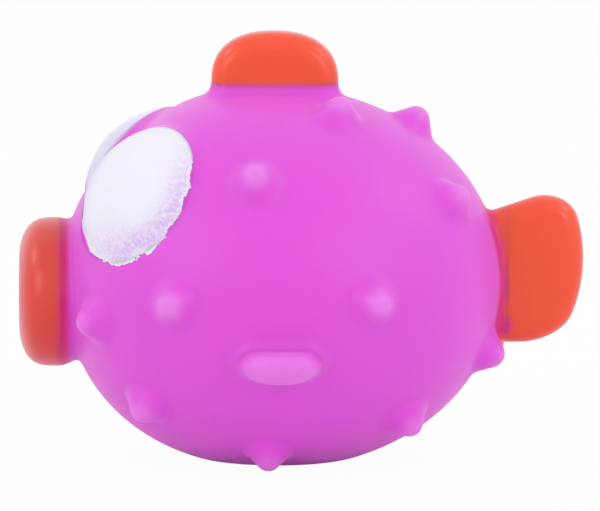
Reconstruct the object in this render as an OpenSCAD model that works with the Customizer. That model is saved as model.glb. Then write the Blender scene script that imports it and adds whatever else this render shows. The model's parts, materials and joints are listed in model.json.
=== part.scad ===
// Squeaking puffer fish bath toy: a hollow soft vinyl fish with sprayed fins, lips and eyes,
// and a reed squeaker clipped into its base.
// The mouth looks towards -X, the tail towards +X, and the left side towards -Y.

/* [Body] */
// From the middle of the body to its blunt front
body_front = 33.6; // [33:0.2:35]
// From the middle of the body to its round rear
body_rear = 36; // [34:0.5:38]
// Width and height of the body, which is round across
body_d = 60.8; // [58:0.2:64]
// How blunt the front is, where 2 is an ellipse
front_power = 2.2; // [2:0.05:2.4]
// How far the tail end is tipped down, in degrees
body_pitch = 2; // [0:0.5:3]
// Wall of the vinyl moulding
wall = 2.2; // [1.6:0.1:3]
// How much the round underside is cut off for the flat base
base_cut = 1.3; // [1.2:0.05:1.8]
// Thickness of the base round the squeaker
base_wall = 3.2; // [2.8:0.1:4]

/* [Nubs] */
// Diameter of a nub where it leaves the body
nub_d = 6; // [5:0.25:7]
// Height of a nub above the body
nub_h = 3.4; // [2.6:0.2:3.6]
// Diameter of the ball at a nub's tip
nub_tip_d = 3; // [2.4:0.2:3.4]

/* [Dorsal fin] */
// Length of the dorsal fin at the paint line
dorsal_len = 20.2; // [18:0.5:23]
// Height of the painted fin
dorsal_h = 8.1; // [7:0.25:10]
// Pink root between the top of the body and the paint line
dorsal_root = 1.1; // [0.8:0.1:2]
// Thickness of the dorsal fin at the paint line
dorsal_t = 7; // [6:0.25:8]
// Thickness of the dorsal fin at its top
dorsal_tip_t = 6; // [5:0.25:6]
// How far the top of the dorsal fin lies forward
dorsal_lean = 0.2; // [0:0.1:1.5]

/* [Tail] */
// How far the tail reaches behind the body
tail_reach = 13.2; // [11:0.5:15]
// Height of the tail's top above the middle of the body
tail_top = 13.9; // [12.6:0.2:14.6]
// Drop of the tail's straight lower edge below the middle of the body
tail_drop = 10.4; // [9.4:0.2:11.4]
// Slope of the tail's upper edge, in degrees
tail_rise = 18; // [12:1:24]
// Radius of the tail's rear edge
tail_arc_r = 24; // [20:1:30]
// Height of the rearmost point above the middle of the body
tail_lift = 3.1; // [2:0.25:4]
// Rounding of the tail's upper corner
tail_top_r = 5.4; // [4:0.2:6.6]
// Rounding of the tail's lower corner
tail_low_r = 6; // [5:0.2:8]
// Height of the tail root's middle above the middle of the body
tail_root_lift = 0.75; // [0:0.25:1.5]
// Height of the tail where it leaves the body
tail_root_h = 22.3; // [19:0.5:23]
// Pink root between the rear of the body and the paint line
tail_root = 1; // [0.6:0.1:2]
// Thickness of the tail
tail_t = 6.6; // [5.6:0.2:7.6]

/* [Lips] */
// Diameter of the round lips
lips_d = 23.7; // [20:0.25:25]
// Depth of the painted lips
lips_depth = 7.2; // [6.4:0.2:9]
// Rounding of the lips' rim
lips_round = 6; // [4:0.5:6]
// Drop of the mouth below the middle of the body
lips_drop = 2.3; // [1:0.25:3.5]
// Pink root between the front of the body and the lips
lips_root = 0.2; // [0.1:0.1:1]
// Diameter of the lips' pink root
lips_root_d = 22.6; // [19:0.25:24]
// Diameter of the dished mouth
mouth_d = 8; // [6:0.5:10]
// Depth of the dished mouth
mouth_depth = 2.2; // [1:0.2:3]

/* [Eyes] */
// Diameter of an eye at its rim
eye_d = 23.8; // [20:0.2:24]
// Height of the dome above its rim
eye_bulge = 6.4; // [5:0.2:7]
// How deep the rim lies below the body's surface, at the middle of the eye
eye_sink = 2.7; // [2:0.1:3]
// Diameter of a pupil
pupil_d = 3.8; // [3:0.2:5]
// Depth of the pupil's pocket in the eye
pupil_depth = 0.8; // [0.5:0.1:1.2]

/* [Pectoral fins] */
// Length of a pectoral fin along the body
pectoral_len = 13.8; // [11:0.4:16]
// How far a pectoral fin stands out from the body's side
pectoral_reach = 4.8; // [3.4:0.2:6]
// Thickness of a pectoral fin at its middle
pectoral_t = 5; // [4.2:0.2:5.6]
// Thickness of a pectoral fin at its two ends
pectoral_end_t = 4; // [3:0.2:4]
// Drop of a pectoral fin's top face below the middle of the body
pectoral_drop = 6.9; // [5:0.25:8]
// How far the pectoral fins sit behind the middle of the body
pectoral_back = 0.9; // [0:0.25:3]

/* [Squeaker] */
// Diameter of the squeaker's outer flange
flange_d = 13.4; // [12.6:0.2:13.8]
// Thickness of the squeaker's outer flange
flange_t = 1.1; // [0.8:0.1:1.4]
// How far the flange lies inside the base
flange_recess = 0.3; // [0.2:0.1:0.5]
// Gap round the flange
flange_gap = 0.25; // [0.1:0.05:0.3]
// Diameter of the neck in the base wall
neck_d = 10.6; // [10.2:0.2:11.2]
// Diameter of the barb that holds the squeaker in
barb_d = 12.2; // [11.8:0.2:12.8]
// Height of the barb
barb_h = 1.6; // [1.2:0.2:2.4]
// Outer diameter of the squeaker's barrel
barrel_d = 9.4; // [9:0.1:9.8]
// Height of the barrel above the barb
barrel_h = 3.4; // [3.2:0.2:5]
// Bore that holds the reed unit
reed_bore_d = 6.6; // [6:0.2:7]
// Thickness of the squeaker's outer face
face_t = 1.6; // [1.2:0.1:2]
// Diameter of the sound hole
sound_hole_d = 3.2; // [2.6:0.2:3.6]

/* [Reed] */
// Width of the reed
reed_w = 3.2; // [2.8:0.1:3.4]
// Thickness of the reed
reed_t = 0.25; // [0.2:0.05:0.35]
// Length of the reed
reed_len = 5; // [4.6:0.1:5.2]
// Length of the slot that traps the reed's upper end
slot_len = 1.2; // [0.9:0.1:1.4]
// Play of the reed in its slot
reed_play = 0.12; // [0.1:0.01:0.2]
// Width of the air channel behind the reed
channel_w = 2.4; // [2:0.1:2.6]
// Depth of the air channel behind the reed
channel_depth = 1.4; // [1:0.1:1.8]
// Room in front of the reed for its swing
swing_room = 0.7; // [0.6:0.05:0.9]

/* [Hidden] */

// Roundness of the true curves and of the balls that make the fins
$fn = 72;
fin_fn = 24;
// Roundness of the eye domes, fine enough for the thin pupils
dome_fn = 200;

// Overrun of a cut past the face that it opens
overrun = 1;

// Places of the nubs: share of the body's half length, and turn round the body in degrees,
// where 0 is the side and 90 the top
left_nub_shares = [[-0.105, 38], [0.249, 69.5], [0.76, 49], [-0.472, -1], [0.435, 2],
                   [-0.834, -16], [-0.003, -55.5], [0.593, -51], [0.935, -62], [-0.577, -44]];
// The right side has its two upper rear nubs lower down
right_nub_shares = [[-0.105, 38], [0.249, 52], [0.76, 35], [-0.472, -1], [0.435, 2],
                    [-0.834, -16], [-0.003, -55.5], [0.593, -51], [0.935, -62], [-0.577, -44]];
top_nub_shares = [[0.581, 92]];

// Place of an eye, given as for a nub
eye_shares = [-0.712, 44];
// Turn of the eye away from straight out of the body, and the heading of that turn
eye_turn = 5.1;
eye_heading = -138;
// Turn of the pupil away from the eye's middle, and its heading round the eye
pupil_turn = 46;
pupil_heading = -54;

// Bluntness of the dorsal fin's and the pectoral fins' outlines
dorsal_power = 2.6;
pectoral_power = 2.6;

// Straight foot of a fin on the root that carries it
fin_foot = 0.8;
// Share of the body's width that the roots reach down into it
root_reach_share = 0.33;

// Middle of the body: the part's origin is the middle of its length, on the floor
front_reach = body_front + lips_root + lips_depth;
rear_reach = body_rear + tail_reach;
middle_x = (front_reach - rear_reach) / 2;
middle_z = body_d / 2 - base_cut;

function curve(v, power) = pow(abs(v), 2 / power) * sign(v);
function half_length(share) = share < 0 ? body_front : body_rear;
function power_at(share) = share < 0 ? front_power : 2;
function rise(share) = pow(1 - pow(abs(share), power_at(share)), 1 / power_at(share));
function body_radius(share) = body_d / 2 * rise(share);
// Lean of the body's surface away from straight out, towards its nearer end
function lean(share) =
    let (p = power_at(share) - 1)
    sign(share) * atan2(pow(abs(share), p) / half_length(share), pow(rise(share), p) / (body_d / 2));

// The body's outer form, made smaller by an inset for the cavity
module body_form(inset) {
    steps = 30;
    outline = [for (i = [0:steps])
        let (angle = -90 + 180 * i / steps, side = sign(angle), p = power_at(side))
        [(body_d / 2 - inset) * curve(cos(angle), p), (half_length(side) - inset) * curve(sin(angle), p)]];
    translate([middle_x, 0, middle_z]) rotate([0, 90 + body_pitch, 0]) rotate_extrude() polygon(outline);
}

// Stands its children on the body's surface, with +Z straight out
module on_body(place) {
    share = place[0];
    translate([middle_x, 0, middle_z]) rotate([0, body_pitch, 0]) rotate([-place[1], 0, 0])
        translate([share * half_length(share), -body_radius(share), 0])
        rotate([0, 0, lean(share)]) rotate([90, 0, 0]) children();
}

// A rounded cone whose foot reaches half into the wall
module nub() {
    tip_r = nub_tip_d / 2;
    foot = wall / 2;
    cone_top = nub_h - tip_r;
    spread = (nub_d / 2 - tip_r) / cone_top;
    translate([0, 0, -foot]) cylinder(h = foot + cone_top, r1 = nub_d / 2 + foot * spread, r2 = tip_r);
    translate([0, 0, cone_top]) sphere(r = tip_r);
}

module nubs() {
    for (place = concat(left_nub_shares, top_nub_shares)) on_body(place) nub();
    mirror([0, 1, 0]) for (place = right_nub_shares) on_body(place) nub();
}

// Paint lines: the height where the dorsal fin starts, and where the tail and the lips start
dorsal_z = middle_z + body_d / 2 + dorsal_root;
tail_x = middle_x + body_rear + tail_root;
lips_x = middle_x - body_front - lips_root;

// Cuts away everything below the base
module below_base() {
    translate([middle_x - body_d, -body_d, -body_d]) cube([2 * body_d, 2 * body_d, body_d]);
}

// The hollow inside, with a flat floor that leaves the thick base round the squeaker
module cavity() {
    difference() {
        body_form(wall);
        translate([0, 0, base_wall]) below_base();
    }
}

// The pink roots that carry the dorsal fin, the tail and the lips up to their paint lines
module roots() {
    reach = body_d * root_reach_share;
    fin_span = dorsal_len - dorsal_t;
    translate([middle_x, 0, dorsal_z - reach]) {
        for (side = [-1, 1]) translate([side * fin_span / 2, 0, 0]) cylinder(h = reach, d = dorsal_t);
        translate([-fin_span / 2, -dorsal_t / 2, 0]) cube([fin_span, dorsal_t, reach]);
    }
    tail_span = tail_root_h - tail_t;
    translate([tail_x - reach, 0, middle_z + tail_root_lift]) {
        for (side = [-1, 1]) translate([0, 0, side * tail_span / 2]) rotate([0, 90, 0])
            cylinder(h = reach, d = tail_t);
        translate([0, -tail_t / 2, -tail_span / 2]) cube([reach, tail_t, tail_span]);
    }
    translate([lips_x, 0, middle_z - lips_drop]) rotate([0, 90, 0])
        cylinder(h = reach, d = lips_root_d);
}

// Stepped hole that the squeaker's flange and neck fill
module squeaker_socket() {
    translate([middle_x, 0, -overrun]) {
        cylinder(h = overrun + flange_recess + flange_t, d = flange_d + 2 * flange_gap);
        cylinder(h = overrun + base_wall + overrun, d = neck_d);
    }
}

module body_shell() {
    color("orchid") difference() {
        union() {
            body_form(0);
            nubs();
            roots();
        }
        cavity();
        below_base();
        squeaker_socket();
    }
}

module dorsal_fin() {
    tip_r = dorsal_tip_t / 2;
    // Angle at which a ball of the rim just touches the paint line
    low = asin(pow(tip_r / (dorsal_h - tip_r), dorsal_power / 2));
    steps = 8;
    color("orangered") translate([middle_x, 0, dorsal_z]) hull() {
        for (side = [-1, 1]) translate([side * (dorsal_len - dorsal_t) / 2, 0, 0])
            cylinder(h = fin_foot, d = dorsal_t, $fn = fin_fn);
        for (i = [0:steps])
            let (angle = low + (180 - 2 * low) * i / steps)
            let (along = curve(cos(angle), dorsal_power), up = curve(sin(angle), dorsal_power))
            translate([(dorsal_len / 2 - tip_r) * along - dorsal_lean * pow(up, 2), 0,
                       (dorsal_h - tip_r) * up])
            sphere(r = tip_r, $fn = fin_fn);
    }
}

// Moves its children away from the present middle, at a turn in the plane of the tail
module outward(turn, away) {
    translate([away * cos(turn), 0, away * sin(turn)]) children();
}

module tail_fin() {
    arc_z = middle_z + tail_lift;
    // Each corner: its rounding, where its middle lies on the arc, and the direction in which it ends
    corners = [
        [tail_top_r, asin((tail_top - tail_lift - tail_top_r) / (tail_arc_r - tail_top_r)), 90 + tail_rise],
        [tail_low_r, -asin((tail_drop + tail_lift - tail_low_r) / (tail_arc_r - tail_low_r)), -90]];
    rear_span = corners[1][1] - corners[0][1];
    steps = 3;
    color("orangered") hull() {
        for (side = [-1, 1])
            translate([tail_x, 0, middle_z + tail_root_lift + side * (tail_root_h - tail_t) / 2])
            rotate([0, 90, 0]) cylinder(h = fin_foot, d = tail_t, $fn = fin_fn);
        translate([middle_x + body_rear + tail_reach - tail_arc_r, 0, arc_z]) {
            for (corner = corners, i = [0:steps])
                outward(corner[1], tail_arc_r - corner[0])
                outward(corner[1] + (corner[2] - corner[1]) * i / steps, corner[0] - tail_t / 2)
                sphere(d = tail_t, $fn = fin_fn);
            for (i = [1:steps])
                outward(corners[0][1] + rear_span * i / (steps + 1), tail_arc_r - tail_t / 2)
                sphere(d = tail_t, $fn = fin_fn);
        }
    }
}

module lips() {
    steps = 10;
    color("tomato") translate([lips_x, 0, middle_z - lips_drop]) rotate([0, -90, 0]) rotate_extrude()
        polygon(concat([[0, 0], [lips_d / 2, 0]],
            [for (i = [0:steps]) let (angle = 90 * i / steps)
                [lips_d / 2 - lips_round * (1 - cos(angle)), lips_depth - lips_round * (1 - sin(angle))]],
            [for (i = [0:steps]) let (angle = 90 * i / steps)
                [mouth_d / 2 * cos(angle), lips_depth - mouth_depth * sin(angle)]]));
}

dome_r = (pow(eye_d / 2, 2) + pow(eye_bulge, 2)) / (2 * eye_bulge);

// Stands its children on the body's surface, with +Z out of the middle of the eye
module at_eye() {
    on_body(eye_shares) rotate([0, 0, eye_heading]) rotate([0, eye_turn, 0]) children();
}

// Stands its children in the middle of the eye dome's sphere, turned towards the pupil
module at_pupil() {
    at_eye() translate([0, 0, eye_bulge - eye_sink - dome_r])
        rotate([0, 0, pupil_heading]) rotate([0, pupil_turn, 0]) children();
}

module pupil_pocket() {
    at_pupil() translate([0, 0, dome_r - pupil_depth])
        cylinder(h = pupil_depth + overrun, d = pupil_d, $fn = dome_fn);
}

module left_eye() {
    color("ghostwhite") difference() {
        at_eye() translate([0, 0, -eye_sink]) {
            intersection() {
                translate([0, 0, eye_bulge - dome_r]) sphere(r = dome_r, $fn = dome_fn);
                cylinder(h = eye_bulge + overrun, d = eye_d);
            }
            translate([0, 0, -wall]) cylinder(h = wall, d = eye_d);
        }
        body_form(0);
        pupil_pocket();
    }
}

module left_pupil() {
    color("black") difference() {
        intersection() {
            pupil_pocket();
            at_pupil() sphere(r = dome_r, $fn = dome_fn);
        }
        body_form(0);
    }
}

module left_pectoral_fin() {
    root_y = body_d / 2 - wall;
    span = (pectoral_len - pectoral_end_t) / 2;
    reach = wall + pectoral_reach - pectoral_t / 2;
    steps = 10;
    color("orchid") difference() {
        hull() for (i = [0:steps])
            let (angle = 180 * i / steps, t = pectoral_end_t + (pectoral_t - pectoral_end_t) * sin(angle))
            translate([middle_x + pectoral_back + span * curve(cos(angle), pectoral_power),
                       -root_y - reach * curve(sin(angle), pectoral_power),
                       middle_z - pectoral_drop - t / 2])
            sphere(d = t, $fn = fin_fn);
        body_form(0);
    }
}

module right_eye() { mirror([0, 1, 0]) left_eye(); }
module right_pupil() { mirror([0, 1, 0]) left_pupil(); }
module right_pectoral_fin() { mirror([0, 1, 0]) left_pectoral_fin(); }

// Heights in the squeaker: the foot and the top of the bore, and the reed's upper end
bore_z = flange_recess + face_t;
squeaker_top = base_wall + barb_h + barrel_h;
reed_top = bore_z + reed_len + (squeaker_top - bore_z - reed_len) / 2;

module squeaker_housing() {
    color("white") translate([middle_x, 0, 0]) difference() {
        rotate_extrude() polygon([
            [0, flange_recess], [flange_d / 2, flange_recess],
            [flange_d / 2, flange_recess + flange_t], [neck_d / 2, flange_recess + flange_t],
            [neck_d / 2, base_wall], [barb_d / 2, base_wall],
            [barrel_d / 2, base_wall + barb_h], [barrel_d / 2, squeaker_top], [0, squeaker_top]]);
        translate([0, 0, bore_z]) cylinder(h = squeaker_top, d = reed_bore_d);
        translate([0, 0, -overrun]) cylinder(h = squeaker_top, d = sound_hole_d);
    }
}

// Half of the reed unit, on the side of +Y or -Y
module reed_half(side) {
    intersection() {
        translate([0, 0, bore_z]) cylinder(h = squeaker_top - bore_z, d = reed_bore_d);
        translate([-reed_bore_d, side < 0 ? -2 * reed_bore_d : 0, 0])
            cube([2 * reed_bore_d, 2 * reed_bore_d, squeaker_top]);
    }
}

// A slot of the reed unit, centred across it
module slot(width, near, far, low, high) {
    translate([-width / 2, near, low]) cube([width, far - near, high - low]);
}

module reed_holder() {
    color("gainsboro") translate([middle_x, 0, 0]) difference() {
        reed_half(-1);
        slot(channel_w, -channel_depth, overrun, 0, reed_top - slot_len);
    }
}

module reed_clamp() {
    play_w = reed_w + 2 * reed_play;
    color("silver") translate([middle_x, 0, 0]) difference() {
        reed_half(1);
        slot(play_w, -overrun, reed_t + reed_play, reed_top - reed_len, reed_top + reed_play);
        slot(play_w, -overrun, reed_t + swing_room, reed_top - reed_len - reed_play, reed_top - slot_len);
        slot(reed_w / 2, reed_t, reed_t + swing_room, reed_top - reed_len, squeaker_top + overrun);
    }
}

module reed() {
    color("lightsteelblue") translate([middle_x, 0, 0])
        slot(reed_w, 0, reed_t, reed_top - reed_len, reed_top);
}

body_shell();
dorsal_fin();
tail_fin();
lips();
left_eye();
right_eye();
left_pupil();
right_pupil();
left_pectoral_fin();
right_pectoral_fin();
squeaker_housing();
reed_holder();
reed_clamp();
reed();
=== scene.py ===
"""Dresses the squeaking bath fish: its moulded vinyl skin, the sprayed paint on it, and a small studio."""

import json
import math
from functools import partialmethod

import bpy
import numpy as np
from bpy.props import FloatProperty, FloatVectorProperty, PointerProperty
from bpy.types import Operator, Panel, PropertyGroup
from mathutils import Matrix, Vector


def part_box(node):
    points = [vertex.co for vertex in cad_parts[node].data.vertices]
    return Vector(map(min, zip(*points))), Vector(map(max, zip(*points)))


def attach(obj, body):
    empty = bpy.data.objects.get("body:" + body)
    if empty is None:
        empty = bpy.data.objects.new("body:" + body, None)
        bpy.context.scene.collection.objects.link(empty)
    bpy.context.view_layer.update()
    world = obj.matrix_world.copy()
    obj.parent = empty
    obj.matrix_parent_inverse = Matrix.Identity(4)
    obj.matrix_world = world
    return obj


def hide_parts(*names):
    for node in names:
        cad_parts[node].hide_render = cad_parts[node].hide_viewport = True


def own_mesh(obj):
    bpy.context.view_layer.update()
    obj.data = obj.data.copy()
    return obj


bl_info = {
    "name": "Squeaking Bath Fish",
    "version": (1, 0, 0),
    "blender": (4, 5, 0),
    "location": "3D View > Sidebar > Bath Fish",
    "description": "Moulds and paints a squeaking vinyl bath fish round its CAD model",
    "category": "Add Mesh",
}

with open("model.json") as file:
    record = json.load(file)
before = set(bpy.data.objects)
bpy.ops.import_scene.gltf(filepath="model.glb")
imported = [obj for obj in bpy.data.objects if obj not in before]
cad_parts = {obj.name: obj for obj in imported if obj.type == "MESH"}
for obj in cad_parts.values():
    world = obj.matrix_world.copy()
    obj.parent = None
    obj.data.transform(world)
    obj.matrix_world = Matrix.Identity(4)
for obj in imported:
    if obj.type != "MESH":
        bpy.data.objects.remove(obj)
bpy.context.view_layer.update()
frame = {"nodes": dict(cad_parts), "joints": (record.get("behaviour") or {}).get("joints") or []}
MM = 0.001


def linear(red, green, blue):
    """A colour written as a screen shows it, 0 to 255, in Blender's linear values."""
    shares = [value / 255 for value in (red, green, blue)]
    return tuple(s / 12.92 if s <= 0.04045 else ((s + 0.055) / 1.055) ** 2.4 for s in shares)


def size(name, description, default):
    """A length that a user may change."""
    return FloatProperty(name=name, description=description, default=default, min=0, precision=5,
                         unit="LENGTH")


def angle(name, description, degrees):
    """An angle that a user may change."""
    return FloatProperty(name=name, description=description, default=math.radians(degrees), subtype="ANGLE")


def number(name, description, default):
    """A plain number that a user may change."""
    return FloatProperty(name=name, description=description, default=default, min=0)


def colour(name, description, default):
    """A colour that a user may change."""
    return FloatVectorProperty(name=name, description=description, default=default, size=3, min=0, max=1,
                               subtype="COLOR")


# Places round the body, each a share of its half length and a turn in degrees, where 0 is the side and
# 90 the top
TOP_NUB_SHARES = [(0.581, 92)]
LEFT_NUB_SHARES = [(0.249, 69.5), (0.76, 49)]
RIGHT_NUB_SHARES = [(0.249, 52), (0.76, 35)]
BOTH_NUB_SHARES = [(-0.105, 38), (-0.472, -1), (0.435, 2), (-0.834, -16), (-0.003, -55.5), (0.593, -51),
                   (0.935, -62), (-0.577, -44)]
EYE_SHARES = (-0.712, 44)
FOREHEAD_SHARES = (-0.76, 90)


class FishBody(PropertyGroup):
    """Sizes of the body and of the skin as a whole."""

    front: size("Front", "From the middle of the body to its blunt front", 33.6 * MM)
    rear: size("Rear", "From the middle of the body to its round rear", 36 * MM)
    width: size("Width", "Width and height of the body", 60.8 * MM)
    front_power: number("Front bluntness", "How blunt the front is, where 2 is an ellipse", 2.2)
    rear_power: number("Rear bluntness", "How blunt the rear is, where 2 is an ellipse", 2.04)
    pitch: angle("Pitch", "How far the tail end is tipped down", 2)
    wall: size("Skin", "Thickness of the moulded skin", 0.9 * MM)
    forehead_dent: size("Forehead dent", "How far the forehead between the eyes lies in", 1.9 * MM)
    forehead_width: size("Forehead width", "Spread of the dent between the eyes", 6.4 * MM)
    base_rounding: size("Base rounding", "Blend of the flat base into the round body", 0.7 * MM)
    mesh_step: size("Mesh step", "Step of the net that the skin is moulded on", 0.8 * MM)
    turn_limit: angle("Turn limit", "How far the skin may turn along one edge of its mesh", 13)


class FishNubs(PropertyGroup):
    """Sizes of the soft nubs."""

    height: size("Height", "Height of a nub above the body", 3.4 * MM)
    tip: size("Tip radius", "Radius of a nub's round tip", 2 * MM)
    side: angle("Side angle", "Slope of a nub's side", 49)
    foot: size("Foot blend", "How softly a nub's foot runs out into the body", 2 * MM)
    reach: size("Reach", "How far from a nub's middle the mesh is made finer", 4.8 * MM)
    fine_step: size("Fine step", "Longest edge of the mesh near a nub", 0.5 * MM)


class FishFins(PropertyGroup):
    """Sizes of the fins and the lips that the frame doesn't give."""

    dorsal_power: number("Dorsal bluntness", "Bluntness of the dorsal fin's outline", 2.35)
    dorsal_lean: size("Dorsal lean", "How far the top of the dorsal fin lies forward", 0.2 * MM)
    dorsal_root: size("Dorsal root", "From the top of the body to the dorsal fin's paint line", 1.1 * MM)
    dorsal_edge: size("Dorsal edge", "Rounding of the dorsal fin's edge", 2.7 * MM)
    dorsal_taper: number("Dorsal taper", "Share by which the dorsal fin is thinner at its top", 0.15)
    dorsal_blend: size("Dorsal fillet", "Blend of the dorsal fin into the body", 2.2 * MM)
    tail_rise: angle("Tail rise", "Slope of the tail's upper edge", 18.3)
    tail_arc: size("Tail arc", "Radius of the tail's rear edge", 24 * MM)
    tail_lift: number("Tail lift", "Share of its height by which the tail's rearmost point lies high", 0.06)
    tail_top_corner: size("Tail top corner", "Rounding of the tail's upper corner", 5.4 * MM)
    tail_low_corner: size("Tail low corner", "Rounding of the tail's lower corner", 4.6 * MM)
    tail_edge: size("Tail edge", "Rounding of the tail's edge", 2.2 * MM)
    tail_thinning: size("Tail thinning", "How much each side of the tail falls back towards its edge", 1 * MM)
    tail_swell: size("Tail swell", "How far from its edge the tail reaches most of its thickness", 4 * MM)
    tail_blend: size("Tail fillet", "Blend of the tail into the body", 1.4 * MM)
    lips_front: size("Lips front", "From the widest part of the lips to their front", 6.2 * MM)
    lips_rear: size("Lips rear", "How slowly the lips narrow towards the body", 7.5 * MM)
    lips_power: number("Lips bluntness", "Bluntness of the lips' rounding", 3.3)
    lips_blend: size("Lips fillet", "Blend of the lips into the body", 1.4 * MM)
    mouth_width: size("Mouth width", "Width of the dished mouth", 9 * MM)
    mouth_depth: size("Mouth depth", "Depth of the dished mouth", 2.6 * MM)
    pectoral_power: number("Pectoral bluntness", "Bluntness of a pectoral fin's outline", 2.8)
    pectoral_taper: size("Pectoral taper", "How much thinner a pectoral fin is at its ends", 1 * MM)
    pectoral_edge: size("Pectoral edge", "Rounding of a pectoral fin's edge", 2.4 * MM)
    pectoral_blend: size("Pectoral fillet", "Blend of a pectoral fin into the body", 2.5 * MM)


class FishEyes(PropertyGroup):
    """Sizes of the eyes."""

    width: size("Eye width", "Width of an eye at its rim", 23.8 * MM)
    bulge: size("Eye bulge", "Height of the eye's dome above its rim", 6.4 * MM)
    sink: size("Eye sink", "How deep the rim lies below the body's surface", 2.7 * MM)
    blend: size("Eye fillet", "Blend of the dome into the body", 0.8 * MM)
    turn: angle("Eye turn", "Turn of the eye away from straight out of the body", 5.1)
    heading: angle("Eye heading", "Heading of the eye's turn", -138)
    pupil: size("Pupil width", "Width of a pupil", 3.8 * MM)
    pupil_turn: angle("Pupil turn", "Turn of the pupil away from the eye's middle", 44.5)
    pupil_heading: angle("Pupil heading", "Heading of the pupil round the eye", -49)


class FishPaint(PropertyGroup):
    """Colours of the vinyl and the sprayed paint, and of the painted highlight and shade on them."""

    pink: colour("Pink vinyl", "Colour of the vinyl body", linear(228, 76, 219))
    deep_pink: colour("Deep pink", "Thin paint over the pink vinyl, at the paint lines", linear(224, 8, 112))
    orange: colour("Orange paint", "Colour of the dorsal fin and the tail", linear(255, 70, 0))
    red_orange: colour("Red orange paint", "Colour of the lips", linear(221, 50, 20))
    white: colour("White paint", "Colour of the eyes", linear(245, 242, 255))
    # Painted shade: white paint greyed to lavender on the eyes' flanks towards the forehead, where little
    # light falls
    eye_flank_shade: colour("Flank of the eyes", "White paint towards the forehead", linear(216, 208, 244))
    lilac: colour("Thin white paint", "White paint that the pink shows through", linear(206, 150, 226))
    # Painted highlight: pale pink that stands in for light glinting on and shining through the nubs' tips and
    # the pectoral fins
    pale_pink_highlight: colour("Pale pink", "Vinyl at the nubs' tips and the pectoral fins", linear(230, 152, 230))
    bloom: colour("Bloom", "Soft bloom at the edges of the vinyl", linear(255, 205, 255))
    black: colour("Black paint", "Colour of the pupils", linear(24, 22, 26))
    nylon: colour("Squeaker plastic", "Colour of the squeaker", linear(236, 234, 228))
    film: colour("Reed film", "Colour of the squeaker's reed", linear(214, 222, 226))


class FishStage(PropertyGroup):
    """Camera and light."""

    elevation: angle("Camera elevation", "How far the camera looks down", 9)
    distance: size("Camera distance", "From the camera to the middle of the body", 2000 * MM)
    view_width: size("View width", "Width of the picture at the middle of the body", 95.6 * MM)
    aim_right: size("Aim right", "How far the picture's middle lies right of the body's", 4 * MM)
    aim_up: size("Aim up", "How far the picture's middle lies above the body's", 3.44 * MM)
    sky: number("Sky", "Strength of the even light from all round", 0.85)
    key: number("Front lamps", "Power of each large lamp in front, in watts", 0.72)
    side: number("Side lamps", "Power of each lamp high at the sides, in watts", 0.45)


def smooth_union(a, b, reach):
    """Joins two distances with a fillet."""
    share = np.clip(0.5 + 0.5 * (b - a) / reach, 0, 1)
    return b + (a - b) * share - reach * share * (1 - share)


def smooth_common(a, b, reach):
    """What two distances have in common, with the edge between them rounded."""
    return -smooth_union(-a, -b, reach)


def round_corner(a, b, radius):
    """What two distances have in common, with a corner of that radius."""
    a, b = a + radius, b + radius
    return np.hypot(np.maximum(a, 0), np.maximum(b, 0)) + np.minimum(np.maximum(a, b), 0) - radius


def oval(u, v, half_u, half_v, power):
    """About how far (u, v) lies outside an oval, where a power of 2 is an ellipse and more is blunter."""
    u, v = np.abs(u) / half_u, np.abs(v) / half_v
    level = np.maximum((u ** power + v ** power) ** (1 / power), 1e-6)
    slope = np.hypot((u / level) ** (power - 1) / half_u, (v / level) ** (power - 1) / half_v)
    return (level - 1) / np.maximum(slope, 1e-9)


def box_of(node):
    """Lowest and highest corner of a CAD node, as arrays."""
    low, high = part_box(node)
    return np.array(low), np.array(high)


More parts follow.
